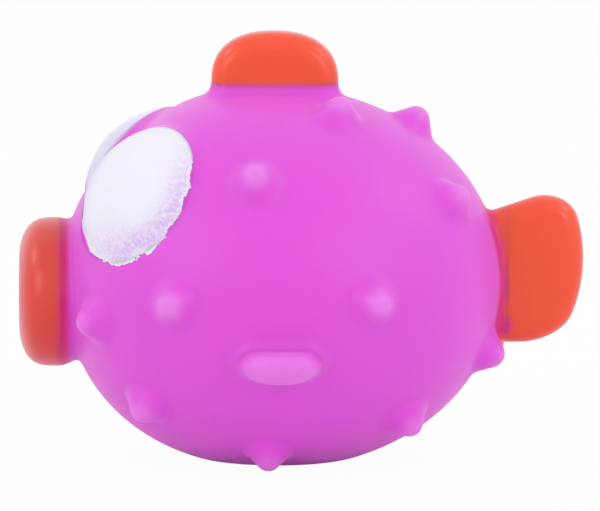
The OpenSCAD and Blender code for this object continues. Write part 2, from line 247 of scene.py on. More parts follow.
class FishForm:
    """The outer form of the fish, as a distance from any point to its skin."""

    def __init__(self, scene):
        self.body, self.fins, self.eyes = scene.fish_body, scene.fish_fins, scene.fish_eyes
        self.dorsal_low, self.dorsal_high = box_of("dorsal_fin")
        self.tail_low, self.tail_high = box_of("tail_fin")
        self.lips_low, self.lips_high = box_of("lips")
        self.lips_middle = (self.lips_low[2] + self.lips_high[2]) / 2
        self.pectoral_low, self.pectoral_high = box_of("left_pectoral_fin")
        self.pectoral_middle = (self.pectoral_low[0] + self.pectoral_high[0]) / 2
        half = self.body.width / 2
        self.middle = np.array([(self.dorsal_low[0] + self.dorsal_high[0]) / 2, 0,
                                self.dorsal_low[2] - self.fins.dorsal_root - half])
        self.pitch = np.array(Matrix.Rotation(self.body.pitch, 3, "Y"))
        self.eye_radius = ((self.eyes.width / 2) ** 2 + self.eyes.bulge ** 2) / (2 * self.eyes.bulge)
        turn = self.frame_on_body(EYE_SHARES) @ np.array(
            Matrix.Rotation(self.eyes.heading, 3, "Z") @ Matrix.Rotation(self.eyes.turn, 3, "Y"))
        self.eye_axis = turn[:, 2]
        self.eye_inward = unit(np.cross(self.eye_axis, [[0, 0, 1]]))[0]
        self.eye_middle = self.point_on_body(EYE_SHARES) + self.eye_axis * (
            self.eyes.bulge - self.eyes.sink - self.eye_radius)
        heading, lean = self.eyes.pupil_heading, self.eyes.pupil_turn
        self.pupil_axis = turn @ np.array([math.sin(lean) * math.cos(heading),
                                           math.sin(lean) * math.sin(heading), math.cos(lean)])
        self.forehead = self.point_on_body(FOREHEAD_SHARES)

    def profile_at(self, share):
        """Half length, power and rise of the body's outline at a share of its half length."""
        half, power = (self.body.front, self.body.front_power) if share < 0 else (
            self.body.rear, self.body.rear_power)
        return half, power, (1 - abs(share) ** power) ** (1 / power)

    def frame_on_body(self, place):
        """Axes of a place on the body's left side, with the third straight out of the surface."""
        share, roll = place
        half, power, rise = self.profile_at(share)
        lean = math.copysign(math.atan2(abs(share) ** (power - 1) / half,
                                        rise ** (power - 1) / (self.body.width / 2)), share)
        turn = (Matrix.Rotation(-math.radians(roll), 3, "X") @ Matrix.Rotation(lean, 3, "Z")
                @ Matrix.Rotation(math.radians(90), 3, "X"))
        return self.pitch @ np.array(turn)

    def point_on_body(self, place):
        """The point of the body's surface at a place on its left side."""
        share, roll = place
        half, _, rise = self.profile_at(share)
        radius, roll = self.body.width / 2 * rise, math.radians(roll)
        place = np.array([share * half, -radius * math.cos(roll), radius * math.sin(roll)])
        return self.middle + self.pitch @ place

    def nub_points(self):
        """The points of the body's surface where the nubs stand."""
        left = [self.point_on_body(place) for place in TOP_NUB_SHARES + LEFT_NUB_SHARES + BOTH_NUB_SHARES]
        right = [self.point_on_body(place) * (1, -1, 1) for place in RIGHT_NUB_SHARES + BOTH_NUB_SHARES]
        return np.array(left + right)

    def egg(self, points):
        """Distance to the bare body."""
        x, y, z = ((points - self.middle) @ self.pitch).T
        radius, half = np.hypot(y, z), self.body.width / 2
        front = oval(x, radius, self.body.front, half, self.body.front_power)
        rear = oval(x, radius, self.body.rear, half, self.body.rear_power)
        away = np.linalg.norm(points - self.forehead, axis=1)
        dent = self.body.forehead_dent * np.exp(-0.5 * (away / self.body.forehead_width) ** 2)
        return np.where(x < 0, front, rear) + dent

    def eye(self, points):
        """Distance to the nearer eye's dome."""
        mirrored = np.column_stack([points[:, 0], -np.abs(points[:, 1]), points[:, 2]])
        return np.linalg.norm(mirrored - self.eye_middle, axis=1) - self.eye_radius

    def dorsal_fin(self, points):
        """Distance to the plate on the fish's back."""
        x, y, z = points.T
        height = self.dorsal_high[2] - self.dorsal_low[2]
        up = z - self.dorsal_low[2]
        share = np.clip(up / height, 0, 1)
        along = x - self.middle[0] + self.fins.dorsal_lean * share ** 2
        half = (self.dorsal_high[0] - self.dorsal_low[0]) / 2
        outline = oval(along, np.maximum(up, 0), half, height, self.fins.dorsal_power)
        outline = np.maximum(outline, -up - self.body.width / 4)
        edge = self.fins.dorsal_edge
        thinner = (self.dorsal_high[1] - edge) * self.fins.dorsal_taper * share
        half_t = (self.dorsal_high[1] - self.dorsal_low[1]) / 2 - thinner
        return round_corner(np.abs(y) - half_t, outline, edge)

    def tail_fin(self, points):
        """Distance to the upright plate of the tail."""
        x, y, z = points.T
        fins = self.fins
        rear, low, high = self.tail_high[0], self.tail_low[2], self.tail_high[2]
        middle_z = (low + high) / 2 + (high - low) * fins.tail_lift
        arc = np.hypot(x - rear + fins.tail_arc, z - middle_z) - fins.tail_arc
        corner_x = rear - fins.tail_top_corner
        rise = fins.tail_rise
        top = (z - high) * math.cos(rise) - (x - corner_x) * math.sin(rise)
        outline = round_corner(arc, top, fins.tail_top_corner)
        outline = round_corner(outline, low - z, fins.tail_low_corner)
        outline = np.maximum(outline, self.middle[0] + self.body.rear / 2 - x)
        thinning = fins.tail_thinning * np.exp(np.minimum(outline, 0) / fins.tail_swell)
        half_t = (self.tail_high[1] - self.tail_low[1]) / 2 - thinning
        return round_corner(np.abs(y) - half_t, outline, fins.tail_edge)

    def lips(self, points):
        """Distance to the round lips, without their mouth."""
        x, y, z = points.T
        radius = np.hypot(y, z - self.lips_middle)
        half = (self.lips_high[2] - self.lips_low[2]) / 2
        along = x - self.lips_low[0] - self.fins.lips_front
        front = oval(along, radius, self.fins.lips_front, half, self.fins.lips_power)
        rear = oval(along, radius, self.fins.lips_rear, half, 2)
        return np.where(along < 0, front, rear)

    def mouth(self, points):
        """Distance to the dish that is pressed into the lips."""
        x, y, z = (points - (self.lips_low[0], 0, self.lips_middle)).T
        return oval(x, np.hypot(y, z), self.fins.mouth_depth, self.fins.mouth_width / 2, 2)

    def pectoral_fin(self, points):
        """Distance to the nearer pectoral fin."""
        x, y, z = points.T
        low, high, fins = self.pectoral_low, self.pectoral_high, self.fins
        half = (high[0] - low[0]) / 2
        along = x - self.pectoral_middle
        root = self.body.width / 2 - 2 * fins.pectoral_edge
        out = np.abs(y) - root
        outline = oval(along, np.maximum(out, 0), half, -low[1] - root, fins.pectoral_power)
        outline = np.maximum(outline, -out - 2 * fins.pectoral_edge)
        thickness = high[2] - low[2] - fins.pectoral_taper * (along / half) ** 2
        across = np.abs(z - high[2] + thickness / 2) - thickness / 2
        return round_corner(across, outline, fins.pectoral_edge)

    def distance(self, points):
        """Distance to the whole skin without its nubs."""
        fins = self.fins
        lips = smooth_common(self.lips(points), -self.mouth(points), 2 * fins.lips_blend)
        whole = smooth_union(self.egg(points), self.eye(points), self.eyes.blend)
        whole = smooth_union(whole, self.dorsal_fin(points), fins.dorsal_blend)
        whole = smooth_union(whole, self.tail_fin(points), fins.tail_blend)
        whole = smooth_union(whole, lips, fins.lips_blend)
        whole = smooth_union(whole, self.pectoral_fin(points), fins.pectoral_blend)
        return smooth_common(whole, -points[:, 2], self.body.base_rounding)

    def slope(self, points):
        """The direction in which the distance grows, and how fast."""
        reach = self.body.mesh_step / 20
        ahead = [self.distance(points + step) for step in np.eye(3) * reach]
        behind = [self.distance(points - step) for step in np.eye(3) * reach]
        return (np.array(ahead) - np.array(behind)).T / (2 * reach)

    def settle(self, points, times=3):
        """Moves points that lie near the skin onto it."""
        for _ in range(times):
            slope = self.slope(points)
            steep = np.maximum((slope ** 2).sum(axis=1), 1e-6)
            points = points - slope * (self.distance(points) / steep)[:, None]
        return points


def unit(vectors):
    """Vectors made one long."""
    return vectors / np.maximum(np.linalg.norm(vectors, axis=1, keepdims=True), 1e-12)


def net_round(values, low, step):
    """Points and triangles of a net round the place where the values on a grid change sign."""
    inside = values < 0
    cells = np.array(values.shape) - 1
    total, count = np.zeros((*cells, 3)), np.zeros(cells)
    for axis in range(3):
        for corner in np.ndindex(2, 2):
            offset = np.insert(corner, axis, 0)
            near = tuple(slice(o, o + n) for o, n in zip(offset, cells))
            offset[axis] = 1
            far = tuple(slice(o, o + n) for o, n in zip(offset, cells))
            crossed = inside[near] != inside[far]
            share = values[near][crossed] / (values[near][crossed] - values[far][crossed])
            place = np.tile(offset.astype(float), (len(share), 1))
            place[:, axis] = share
            total[crossed] += place
            count[crossed] += 1
    used = count > 0
    number_of = np.full(cells, -1)
    number_of[used] = np.arange(used.sum())
    points = low + step * (np.argwhere(used) + total[used] / count[used][:, None])
    quads = []
    for axis in range(3):
        size_along = values.shape[axis] - 1
        first = np.take(inside, range(size_along), axis)
        crossed = np.argwhere(first != np.take(inside, range(1, size_along + 1), axis))
        b, c = np.eye(3, dtype=int)[(axis + 1) % 3], np.eye(3, dtype=int)[(axis + 2) % 3]
        around = [crossed, crossed - b, crossed - b - c, crossed - c]
        quad = np.column_stack([number_of[tuple(cell.T)] for cell in around])
        inward = ~first[tuple(crossed.T)]
        quad[inward] = quad[inward][:, ::-1]
        quads.append(quad)
    quads = np.vstack(quads)
    across = np.linalg.norm(points[quads[:, 0]] - points[quads[:, 2]], axis=1)
    turned = across > np.linalg.norm(points[quads[:, 1]] - points[quads[:, 3]], axis=1)
    quads[turned] = np.roll(quads[turned], 1, axis=1)
    return points, np.vstack([quads[:, [0, 1, 2]], quads[:, [0, 2, 3]]])


def edges_of(faces):
    """Every edge of the triangles once, and which of them each triangle has."""
    pairs = np.sort(faces[:, [[0, 1], [1, 2], [2, 0]]].reshape(-1, 2), axis=1)
    edges, which = np.unique(pairs, axis=0, return_inverse=True)
    return edges, which.reshape(-1, 3)


def halve_edges(points, faces, chosen, edges, which):
    """Puts a point in the middle of the chosen edges and splits the triangles on them."""
    middle = np.full(len(edges), -1)
    middle[chosen] = len(points) + np.arange(chosen.sum())
    points = np.vstack([points, points[edges[chosen]].mean(axis=1)])
    split = middle[which]
    count = (split >= 0).sum(axis=1)
    kept = [faces[count == 0]]
    for times in (1, 2):
        rows = np.flatnonzero(count == times)
        mark = split[rows] >= 0 if times == 1 else split[rows] < 0
        first = np.argmax(mark, axis=1) if times == 1 else (np.argmax(mark, axis=1) + 1) % 3
        order = (first[:, None] + np.arange(3)) % 3
        a, b, c = np.take_along_axis(faces[rows], order, 1).T
        ab, bc, _ = np.take_along_axis(split[rows], order, 1).T
        if times == 1:
            kept += [np.column_stack([a, ab, c]), np.column_stack([ab, b, c])]
        else:
            kept += [np.column_stack([ab, b, bc]), np.column_stack([a, ab, bc]), np.column_stack([a, bc, c])]
    a, b, c = faces[count == 3].T
    ab, bc, ca = split[count == 3].T
    kept += [np.column_stack(corners) for corners in ((a, ab, ca), (b, bc, ab), (c, ca, bc), (ab, bc, ca))]
    return points, np.vstack(kept)


def normals_of(points, faces):
    """Normal of the surface at each point, from the triangles round it."""
    corners = points[faces]
    across = np.cross(corners[:, 1] - corners[:, 0], corners[:, 2] - corners[:, 0])
    total = np.zeros_like(points)
    for corner in range(3):
        np.add.at(total, faces[:, corner], across)
    return unit(total)


def mesh_from(name, points, faces):
    """A smooth mesh of triangles."""
    mesh = bpy.data.meshes.new(name)
    mesh.vertices.add(len(points))
    mesh.vertices.foreach_set("co", np.asarray(points, np.float32).ravel())
    mesh.loops.add(faces.size)
    mesh.loops.foreach_set("vertex_index", faces.astype(np.int32).ravel())
    mesh.polygons.add(len(faces))
    mesh.polygons.foreach_set("loop_start", np.arange(0, faces.size, 3, dtype=np.int32))
    mesh.update(calc_edges=True)
    mesh.polygons.foreach_set("use_smooth", np.ones(len(faces), bool))
    return mesh


def shown(name, data):
    """An object of the mesh, lamp or camera, in the scene."""
    made = bpy.data.objects.new(name, data)
    bpy.context.scene.collection.objects.link(made)
    return made


class Value:
    """A node's output that takes part in arithmetic, which adds Math nodes."""

    def __init__(self, tree, socket):
        self.tree, self.socket = tree, socket

    def math(self, operation, *others):
        """One Math node on this value and others."""
        return self.tree.math(operation, self, *others)

    def __rsub__(self, other):
        return self.tree.math("SUBTRACT", other, self)

    __add__ = __radd__ = partialmethod(math, "ADD")
    __sub__ = partialmethod(math, "SUBTRACT")
    __mul__ = __rmul__ = partialmethod(math, "MULTIPLY")
    __truediv__ = partialmethod(math, "DIVIDE")
    __neg__ = partialmethod(math, "MULTIPLY", -1)
    __abs__ = partialmethod(math, "ABSOLUTE")
    __lt__ = partialmethod(math, "LESS_THAN")


class Tree:
    """A node tree and the ways in which nodes are added to it."""

    def __init__(self, tree):
        self.tree = tree

    def node(self, kind, settings=None, sockets=None, out=0):
        """Adds a node, sets its settings and then its sockets, and returns one of its outputs."""
        made = self.tree.nodes.new(kind)
        for name, value in (settings or {}).items():
            setattr(made, name, value)
        self.fill(made.inputs, sockets or {})
        return Value(self, made.outputs[out]) if made.outputs else made

    def fill(self, inputs, values):
        """Links or sets a node's sockets, given by name or number."""
        for name, value in values.items():
            if isinstance(value, Value):
                self.tree.links.new(value.socket, inputs[name])
            else:
                inputs[name].default_value = value

    def math(self, operation, *values):
        """A Math node."""
        return self.node("ShaderNodeMath", {"operation": operation}, dict(enumerate(values)))

    def vector(self, operation, *values, out=0):
        """A Vector Math node."""
        return self.node("ShaderNodeVectorMath", {"operation": operation}, dict(enumerate(values)), out)

    def scaled(self, value, share):
        """A vector made longer or shorter."""
        return self.node("ShaderNodeVectorMath", {"operation": "SCALE"}, {0: value, "Scale": share})

    def parts(self, value):
        """The three parts of a vector."""
        return (self.node("ShaderNodeSeparateXYZ", None, {0: value}, out) for out in range(3))

    def along(self, value, axis):
        """How far a vector reaches along an axis."""
        return self.vector("DOT_PRODUCT", value, axis, out=1)

    def mix(self, share, first, second):
        """A blend of two colours."""
        first, second = (v if isinstance(v, Value) else (*v, 1) for v in (first, second))
        return self.node("ShaderNodeMix", {"data_type": "RGBA"}, {0: share, 6: first, 7: second}, 2)

    def length(self, across, along):
        """How long the way is with these two parts at right angles."""
        return (across * across + along * along).math("SQRT")

    def step(self, value, low, high):
        """0 where the value is below low, 1 where it is above high, and smooth between."""
        return self.node("ShaderNodeMapRange", {"interpolation_type": "SMOOTHSTEP"},
                         {"Value": value, "From Min": low, "From Max": high})

    def fall(self, value, low, high):
        """1 where the value is below low, 0 where it is above high, and smooth between."""
        return 1 - self.step(value, low, high)

    def noise(self, place, scale, detail):
        """Even noise round 0, from -0.5 to 0.5."""
        sockets = {"Vector": place, "Scale": scale, "Detail": detail}
        return self.node("ShaderNodeTexNoise", None, sockets) - 0.5

    def bump(self, height, strength):
        """The normal over an uneven surface."""
        return self.node("ShaderNodeBump", None, {"Height": height, "Strength": strength, "Distance": 1.0})


def nub_tree(material):
    """Geometry nodes that raise a soft nub on a skin at each point of another object."""
    group = bpy.data.node_groups.new("Raise nubs", "GeometryNodeTree")
    group.interface.new_socket("Skin", in_out="INPUT", socket_type="NodeSocketGeometry")
    group.interface.new_socket("Nub places", in_out="INPUT", socket_type="NodeSocketObject")
    for name in ("Height", "Tip radius", "Side angle", "Foot blend"):
        group.interface.new_socket(name, in_out="INPUT", socket_type="NodeSocketFloat")
    group.interface.new_socket("Skin", in_out="OUTPUT", socket_type="NodeSocketGeometry")
    tree = Tree(group)
    given = group.nodes.new("NodeGroupInput")
    skin, places, height, tip, side, foot = (Value(tree, given.outputs[i]) for i in range(6))
    targets = tree.node("GeometryNodeObjectInfo", {"transform_space": "RELATIVE"}, {"Object": places},
                        "Geometry")
    away = tree.node("GeometryNodeProximity", {"target_element": "POINTS"}, {0: targets}, "Distance")
    ball = height - tip + (tip * tip - away * away).math("MAXIMUM", 0).math("SQRT")
    edge = tip * side.math("SINE")
    cone = height - tip + tip * side.math("COSINE") - (away - edge) * side.math("TANGENT")
    on_tip = away < edge
    rise = (ball * on_tip + cone * (1 - on_tip)).math("SMOOTH_MAX", 0, foot)
    normal = tree.node("GeometryNodeInputNormal")
    raised = tree.node("GeometryNodeSetPosition", None,
                       {"Geometry": skin, "Offset": tree.scaled(normal, rise)})
    real = tree.node("GeometryNodeRealizeInstances", None, {0: raised})
    dressed = tree.node("GeometryNodeSetMaterial", None, {"Geometry": real, "Material": material})
    tree.node("NodeGroupOutput", None, {0: dressed})
    return group


def input_named(group, name):
    """Identifier of a tree's named input."""
    return next(item.identifier for item in group.interface.items_tree
                if item.in_out == "INPUT" and item.name == name)


# The stepped hole in the base: gap round the squeaker's flange, rounding of the hole's lower edge, radius
# round the squeaker's neck, depth of the flange's seat, thickness of the base, width of the ring round the
# flange, and how many steps the ring and its rounding have
SOCKET_GAP = 0.25 * MM
SOCKET_EDGE = 0.4 * MM
SOCKET_NECK = 5.3 * MM
SOCKET_SEAT = 1.4 * MM
SOCKET_TOP = 3.2 * MM
SOCKET_RING = 1.6 * MM
SOCKET_STEPS = 128
SOCKET_EDGE_STEPS = 6

# How far a pectoral fin's piece reaches onto the body, and how far a nub moves a point at least
FIN_SKIRT = 0.15 * MM
NUB_TRACE = 0.0001 * MM


class Moulding:
    """The whole skin as one closed net, shared out among the fish's pieces."""

    def __init__(self, scene):
        self.form = form = FishForm(scene)
        self.points, faces = self.net()
        self.points, faces = self.refined(faces, scene.fish_nubs)
        smooth = self.points
        self.points = self.raise_nubs(faces, scene)
        moved = np.linalg.norm(self.points - smooth, axis=1) > NUB_TRACE
        self.normals = np.where(moved[:, None], normals_of(self.points, faces),
                                unit(form.slope(self.points)))
        self.faces = {"body_shell": faces}
        self.share_out()

    def net(self):
        """The net on an even grid round the form."""
        step = self.form.body.mesh_step
        corners = np.array([box_of(node) for node in frame["nodes"]])
        low, high = corners[:, 0].min(axis=0) - 3 * step, corners[:, 1].max(axis=0) + 3 * step
        axes = [np.arange(a, b, step) for a, b in zip(low, high)]
        grid = np.stack(np.meshgrid(*axes, indexing="ij"), axis=-1)
        values = self.form.distance(grid.reshape(-1, 3)).reshape(grid.shape[:3])
        points, faces = net_round(values, low, step)
        return self.form.settle(points), faces

    def refined(self, faces, nubs):
        """The net with finer triangles where it turns sharply and where nubs will stand."""
        points, places = self.points, self.form.nub_points()
        for _ in range(2):
            edges, which = edges_of(faces)
            ends = points[edges]
            length = np.linalg.norm(ends[:, 0] - ends[:, 1], axis=1)
            middles = ends.mean(axis=1)
            away = np.min([np.linalg.norm(middles - place, axis=1) for place in places], axis=0)
            normals = unit(self.form.slope(points))[edges]
            turned = (normals[:, 0] * normals[:, 1]).sum(axis=1) < math.cos(self.form.body.turn_limit)
            chosen = (away < nubs.reach) & (length > nubs.fine_step) | turned & (length > nubs.fine_step / 2)
            before = len(points)
            points, faces = halve_edges(points, faces, chosen, edges, which)
            points[before:] = self.form.settle(points[before:], 2)
        return points, faces

    def raise_nubs(self, faces, scene):
        """The points of the net after the nubs are raised on it."""
        places = shown("nub_places", bpy.data.meshes.new("nub_places"))
        places.data.from_pydata([tuple(point) for point in self.form.nub_points()], [], [])
        skin = shown("smooth_skin", mesh_from("smooth_skin", self.points, faces))
        group = nub_tree(vinyl_material(scene, "pink_vinyl"))
        modifier = skin.modifiers.new("Nubs", "NODES")
        modifier.node_group = group
        nubs = scene.fish_nubs
        for name, value in (("Nub places", places), ("Height", nubs.height), ("Tip radius", nubs.tip),
                            ("Side angle", nubs.side), ("Foot blend", nubs.foot)):
            modifier[input_named(group, name)] = value
        result = bpy.data.meshes.new_from_object(skin.evaluated_get(bpy.context.evaluated_depsgraph_get()))
        points = np.zeros(len(result.vertices) * 3, np.float32)
        result.vertices.foreach_get("co", points)
        for spare in (skin, places):
            bpy.data.objects.remove(spare)
        points = points.reshape(-1, 3).astype(float)
        points[:, 2] = np.maximum(points[:, 2], 0)
        return points

    def take(self, name, level, source="body_shell"):
        """Cuts the faces where the level is above zero out of a group of faces, as a group of their own."""
        faces = self.faces[source]
        value = level(self.points)
        above = value > 0
        count = above[faces].sum(axis=1)
        taken, left = [faces[count == 3]], [faces[count == 0]]
        mixed = faces[(count == 1) | (count == 2)]
        edges, which = edges_of(mixed)
        crossed = above[edges[:, 0]] != above[edges[:, 1]]
        cut = np.full(len(edges), -1)
        cut[crossed] = len(self.points) + np.arange(crossed.sum())
        a, b = edges[crossed].T
        share = (value[a] / (value[a] - value[b]))[:, None]
        points, normals = (each[a] * (1 - share) + each[b] * share for each in (self.points, self.normals))
        self.points, self.normals = np.vstack([self.points, points]), np.vstack([self.normals, unit(normals)])
        lone_above = above[mixed].sum(axis=1) == 1
        lone = np.where(lone_above, np.argmax(above[mixed], axis=1), np.argmin(above[mixed], axis=1))
        order = (lone[:, None] + np.arange(3)) % 3
        p, q, r = np.take_along_axis(mixed, order, 1).T
        pq, _, rp = cut[np.take_along_axis(which, order, 1)].T
        tip = np.column_stack([p, pq, rp])
        rest = np.stack([np.column_stack([pq, q, r]), np.column_stack([pq, r, rp])], axis=1)
        taken += [tip[lone_above], rest[~lone_above].reshape(-1, 3)]
        left += [tip[~lone_above], rest[lone_above].reshape(-1, 3)]
        self.faces[name], self.faces[source] = np.vstack(taken), np.vstack(left)

    def share_out(self):
        """Cuts each painted or jutting piece out of the skin."""
        form = self.form
        self.take("dorsal_fin", lambda p: p[:, 2] - form.dorsal_low[2])
        clear = form.tail_high[1] + form.fins.pectoral_taper
        self.take("tail_fin", lambda p: np.minimum(p[:, 0] - form.tail_low[0], clear - np.abs(p[:, 1])))
        self.take("lips", lambda p: form.lips_high[0] - p[:, 0])
        for name, side in (("left", 1), ("right", -1)):
            mirror = np.array([1, side, 1])
            eye, axis, pupil = form.eye_middle * mirror, form.eye_axis * mirror, form.pupil_axis * mirror
            self.take(f"{name}_eye", lambda p: inside_ring(p - eye, axis, form.eyes.width / 2))
            self.take(f"{name}_pupil", lambda p: inside_ring(p - eye, pupil, form.eyes.pupil / 2),
                      f"{name}_eye")
            self.take(f"{name}_pectoral_fin", lambda p: np.minimum(
                FIN_SKIRT - form.pectoral_fin(p), -side * p[:, 1] - form.body.width / 4))
        hole = box_of("squeaker_housing")[1][0] - form.middle[0] + SOCKET_GAP + SOCKET_EDGE
        down = np.array([0, 0, -1])
        self.take("socket", lambda p: inside_ring(p - form.middle, down, hole))

    def piece(self, name, thickness, extra=None):
        """A closed wall of that thickness under a group of faces, whose light runs on across the seams."""
        used, faces = np.unique(self.faces[name], return_inverse=True)
        faces = faces.reshape(-1, 3)
        outer, normals = self.points[used], self.normals[used]
        count = len(outer)
        ways = faces[:, [[0, 1], [1, 2], [2, 0]]].reshape(-1, 2)
        keys, back = ways[:, 0] * count + ways[:, 1], ways[:, 1] * count + ways[:, 0]
        a, b = ways[~np.isin(keys, back)].T
        rim = np.vstack([np.column_stack([b, a, a + count]), np.column_stack([b, a + count, b + count])])
        points = np.vstack([outer, outer - normals * thickness])
        normals = np.vstack([normals, -normals])
        faces = np.vstack([faces, faces[:, ::-1] + count, rim])
        if extra:
            more_points, more_faces = extra
            faces = np.vstack([faces, more_faces + len(points)])
            normals = np.vstack([normals, normals_of(more_points, more_faces)])
            points = np.vstack([points, more_points])
        mesh = mesh_from(name, points, faces)
        mesh.normals_split_custom_set_from_vertices(normals.tolist())
        return mesh


def inside_ring(points, axis, radius):
    """How far points lie inside a cylinder round the axis, on the side to which the axis points."""
    along = points @ axis
    away = np.linalg.norm(points - along[:, None] * axis, axis=1)
    return np.minimum(radius - away, along)


def lathe(profile, middle, steps):
    """Points and faces of a ring with a closed profile of (radius, height), turned round an upright axis."""
    angles = np.arange(steps) * 2 * math.pi / steps
    radius, height = np.array(profile).T
    points = np.stack([middle[0] + np.outer(np.cos(angles), radius),
                       middle[1] + np.outer(np.sin(angles), radius), np.tile(height, (steps, 1))], axis=-1)
    count = len(profile)
    turn, along = np.meshgrid(np.arange(steps), np.arange(count), indexing="ij")
    a, b = turn * count + along, turn * count + (along + 1) % count
    c, d = (turn + 1) % steps * count + (along + 1) % count, (turn + 1) % steps * count + along
    faces = [np.stack(corners, axis=-1).reshape(-1, 3) for corners in ((a, c, b), (a, d, c))]
    return points.reshape(-1, 3), np.vstack(faces)


def socket_ring(form):
    """The thick ring of the base that holds the squeaker's flange and neck."""
    flange = box_of("squeaker_housing")[1][0] - form.middle[0] + SOCKET_GAP
    outer = flange + SOCKET_RING
    corner = [(flange + SOCKET_EDGE * (1 - math.sin(turn)), SOCKET_EDGE * (1 - math.cos(turn)))
              for turn in np.linspace(0, math.pi / 2, SOCKET_EDGE_STEPS + 1)]
    step = [(flange, SOCKET_SEAT), (SOCKET_NECK, SOCKET_SEAT), (SOCKET_NECK, SOCKET_TOP)]
    rear = [(outer, SOCKET_TOP), (outer, form.body.wall / 2)]
    return lathe(corner + step + rear, form.middle, SOCKET_STEPS)


def new_material(name):
    """The finished material of that name with its tree and surface, or alone where it is made already."""
    material = bpy.data.materials.get("finished_" + name)
    if material:
        return material, None, None
    material = bpy.data.materials.new("finished_" + name)
    material.use_nodes = True
    return material, Tree(material.node_tree), material.node_tree.nodes["Principled BSDF"]


def egg_height(tree, place, form):
    """How far a place lies above the bare body, in shader nodes."""
    moved = tree.vector("SUBTRACT", place, tuple(form.middle))
    turned = tree.node("ShaderNodeVectorRotate", {"rotation_type": "Y_AXIS"},
                       {"Vector": moved, "Angle": -form.body.pitch})
    half = form.body.width / 2
    scaled = tree.vector("MULTIPLY", turned, (1 / form.body.rear, 1 / half, 1 / half))
    return (tree.vector("LENGTH", scaled, out=1) - 1) * half


# Where each layer of paint or painted highlight begins and where it is full, here above the bare body
NUB_HIGHLIGHT = (1.2 * MM, 3.6 * MM)
FIN_HIGHLIGHT = (1.5 * MM, 5.5 * MM)
TAIL_HAZE = (-0.5 * MM, 0.4 * MM)
TAIL_PAINT = (0.2 * MM, 1.8 * MM)
# Above the dorsal fin's lowest edge
DORSAL_HAZE = (-1.1 * MM, -0.1 * MM)
DORSAL_PAINT = (-0.25 * MM, 0.2 * MM)
# Behind the foremost edge of the tail's solid, beside the tail's plate, and away from its root
TAIL_FRONT = (-5 * MM, -3.5 * MM)
TAIL_FLANK = (0.2 * MM, 0.9 * MM)
TAIL_HALO = (1.2 * MM, 3.6 * MM)
# Before the rear edge of the lips' solid
LIPS_HAZE = (-1.8 * MM, -0.3 * MM)
LIPS_PAINT = (-0.3 * MM, 1.4 * MM)
# Away from the middle of the pectoral fins, along the body and up from it
FIN_ENDS = (7 * MM, 8 * MM)
FIN_FACES = (3.5 * MM, 4.5 * MM)
# Away from the spot at the tail's root that the nubs kept free of spray
MISSED_SPOT = (0.8 * MM, 2.6 * MM)
MISSED_RISE = 3 * MM

# The nozzle's heading seen from the left eye, and the heading of the eye's loosely masked rear
NOZZLE = (0, -0.988, 0.156)
REAR_LOW = (0.72, 0, -0.69)
# How far the loose mask let the white paint wander, in scallops and in teeth, and past the rim at most
SCALLOPS = 4.2 * MM
TEETH = 1.1 * MM
OVERSPRAY = 1.4 * MM
# Width of a crisp paint edge
CRISP = 0.1 * MM


def white_share(tree, place, form):
    """Where the eyes' white paint lies, where its flank towards the forehead takes painted shade, and how
    thin it is.
    """
    x, y, z = tree.parts(place)
    half = form.eyes.width / 2
    axis = tuple(form.eye_axis)
    near = tree.node("ShaderNodeCombineXYZ", None, {0: x, 1: -abs(y), 2: z})
    moved = tree.vector("SUBTRACT", near, tuple(form.eye_middle))
    along = tree.along(moved, axis)
    # The spray comes from the side, so a place is painted where its line to the nozzle passes inside the rim
    spray = unit(np.array([NOZZLE]))[0]
    rim = form.eye_radius - form.eyes.bulge
    back = tree.scaled(tuple(spray), (along - rim) * (1 / (spray @ form.eye_axis)))
    flat = tree.vector("SUBTRACT", tree.vector("SUBTRACT", moved, back), tuple(form.eye_axis * rim))
    away = tree.vector("LENGTH", flat, out=1)
    flush = tree.vector("LENGTH", tree.vector("CROSS_PRODUCT", moved, axis), out=1)
    # The lower rear of each eye is where the mask sat loosely
    rear_low = unit(np.array([REAR_LOW]) @ (np.eye(3) - np.outer(form.eye_axis, form.eye_axis)))[0]
    heading = tree.along(flat, tuple(rear_low)) / half
    loose = tree.step(heading, -0.1, 0.5)
    wander = tree.noise(place, 240, 1.0) * SCALLOPS + tree.noise(place, 2300, 1.0) * TEETH
    inside = half - CRISP + loose * (wander - 3 * CRISP) - away
    reach = half + 2 * CRISP + loose * OVERSPRAY
    over = tree.fall(flush, reach, reach + CRISP)
    covered = tree.step(inside, -CRISP / 2, CRISP / 2) * tree.step(along, 0, 2 * MM) * over
    # The dome itself is painted all over, down to its rim
    proud = tree.vector("LENGTH", moved, out=1) - form.eye_radius
    dome = tree.fall(proud, 1.2 * CRISP, 2 * CRISP) * tree.fall(heading, 0.1, 0.3)
    covered = covered.math("MAXIMUM", dome * tree.fall(flush, half, half + CRISP))
    # Thin paint lets the pink through in fine grains, but not along the thick rim that the mask left
    thin = tree.step(heading, -0.35, 0.75) * tree.step(inside, 0.15 * MM, 1.2 * MM)
    thin = thin * tree.fall(inside, 2.5 * MM, 9 * MM) * (0.5 + tree.noise(place, 1700, 3.0) * 1.5)
    # Painted shade: the white turns grey lavender on the flank towards the forehead, where little light falls
    flank = tree.step(tree.along(moved, tuple(form.eye_inward)) / half, 0.25, 0.75) * 0.8
    return covered, flank, thin.math("MAXIMUM", 0)


